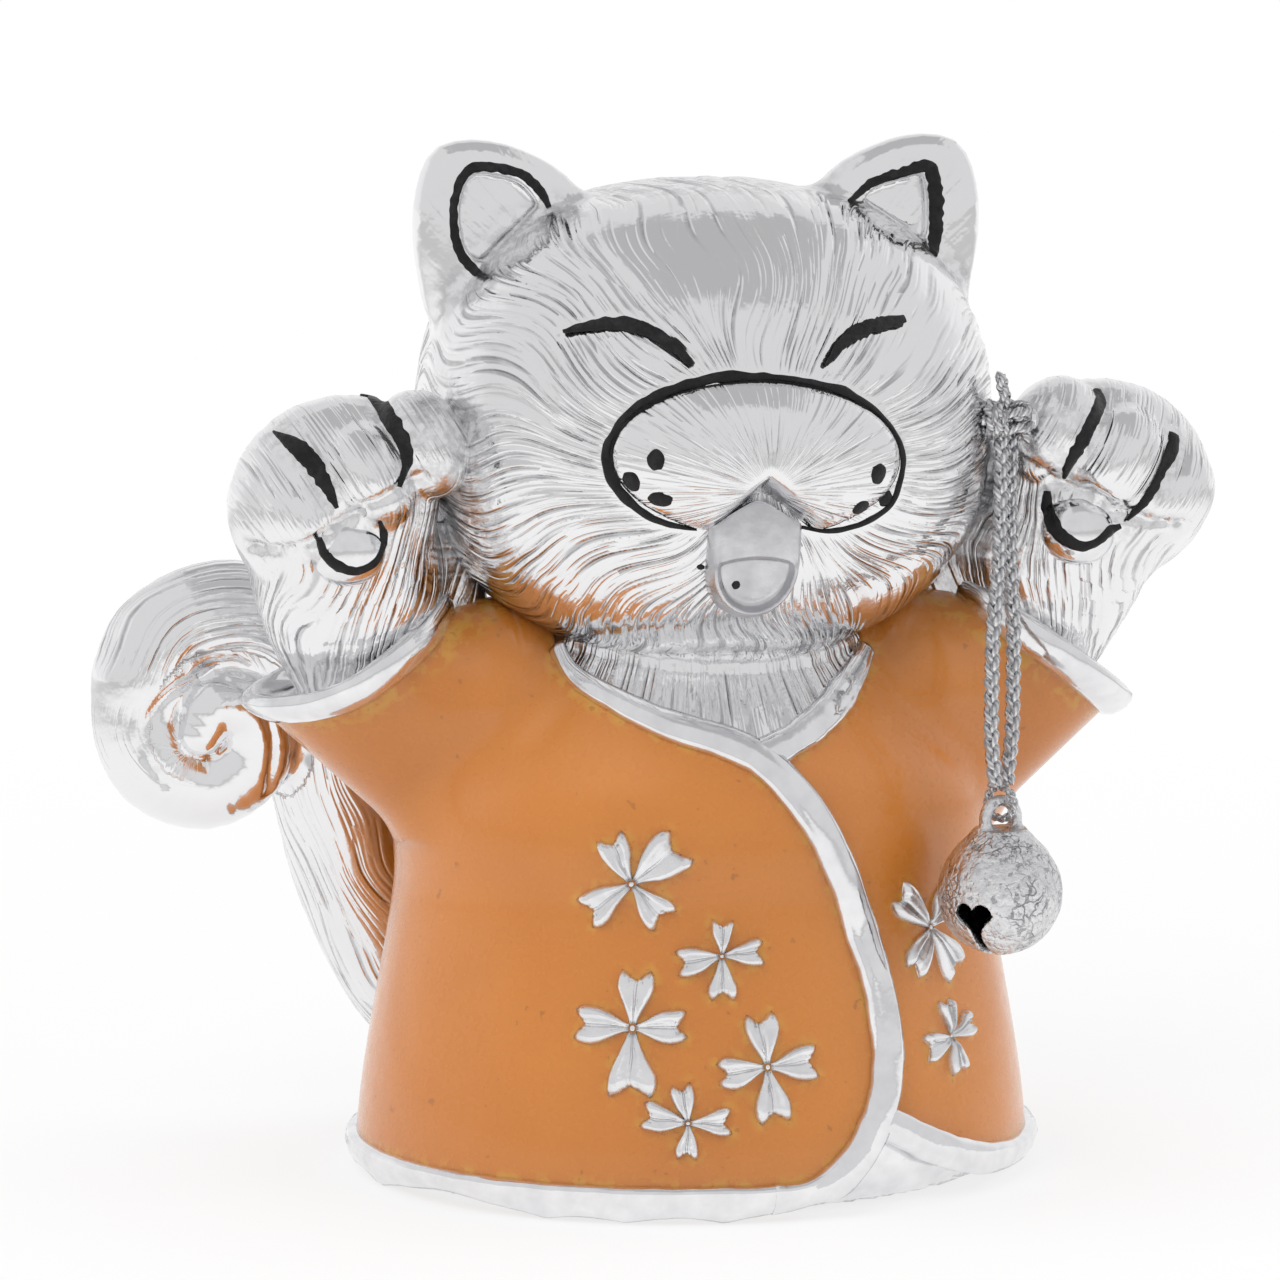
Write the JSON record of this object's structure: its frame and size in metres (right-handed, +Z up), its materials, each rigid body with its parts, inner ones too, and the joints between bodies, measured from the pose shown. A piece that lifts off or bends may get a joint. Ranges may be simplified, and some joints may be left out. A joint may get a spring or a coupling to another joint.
{
  "type": "lucky cat figurine",
  "caption": "Laughing lucky cat with both paws raised, bright-plated, in an enamelled wrap coat with raised blossoms; a jingle bell swings from a plaited cord and the tail curls up behind.",
  "frame": {"origin": "middle of the felt under the base, on the surface it stands on", "axes": "+Z up, the cat looks along -Y, +X towards the cat's left paw and the bell"},
  "size_m": [0.104, 0.0613, 0.0985],
  "materials": {
    "plating": "bright silver plating over resin",
    "enamel": "orange gloss enamel",
    "black_paint": "brushed black paint",
    "bell": "antique plating with dark scratches",
    "cord": "plaited metallic thread",
    "resin": "cast resin",
    "felt": "dark felt"
  },
  "bodies": {
    "figure": {"head": "plating", "right_ear": "plating", "left_ear": "plating", "muzzle": "plating", "tongue": "plating", "muzzle_line": "black_paint", "right_eye_line": "black_paint", "left_eye_line": "black_paint", "body_core": "plating", "base_plate": "resin", "base_felt": "felt", "coat_shell": "enamel", "chest_bib": "plating", "front_band": "plating", "left_collar_band": "plating", "right_hem_band": "plating", "left_hem_band": "plating", "right_cuff_band": "plating", "left_cuff_band": "plating", "blossom_1": "plating", "blossom_2": "plating", "blossom_3": "plating", "blossom_4": "plating", "blossom_5": "plating", "blossom_6": "plating", "blossom_7": "plating", "right_arm": "plating", "left_arm": "plating", "right_paw_pad": "plating", "left_paw_pad": "plating", "tail": "plating", "neck_dowel": "resin", "right_arm_dowel": "resin", "left_arm_dowel": "resin", "tail_dowel": "resin", "cord_peg": "plating"},
    "knot": {"cord_knot": "cord"},
    "cord": {"cord_right_strand": "cord", "cord_left_strand": "cord", "cord_hitch": "cord"},
    "bell": {"bell_cap": "bell", "bell_bowl": "bell", "bell_eye": "bell"},
    "pellet": {"bell_pellet": "bell"}
  },
  "joints": [
    {"name": "cord_swing", "type": "hinge", "parent": "figure", "child": "knot", "pos_m": [0.026, -0.0173, 0.0726], "axis": [-1, 0, 0], "range_deg": [0, 40]},
    {"name": "cord_sway", "type": "hinge", "parent": "knot", "child": "cord", "pos_m": [0.026, -0.0173, 0.0726], "axis": [0.6138, -0.7895, 0], "range_deg": [-6, 6]},
    {"name": "bell_swing", "type": "hinge", "parent": "cord", "child": "bell", "pos_m": [0.0236, -0.02481, 0.0363], "axis": [0.6138, -0.7895, 0], "range_deg": [-35, 35]},
    {"name": "pellet_rattle", "type": "slide", "parent": "bell", "child": "pellet", "axis": [0, 0, 1], "range_m": [0, 0.0035]}
  ]
}
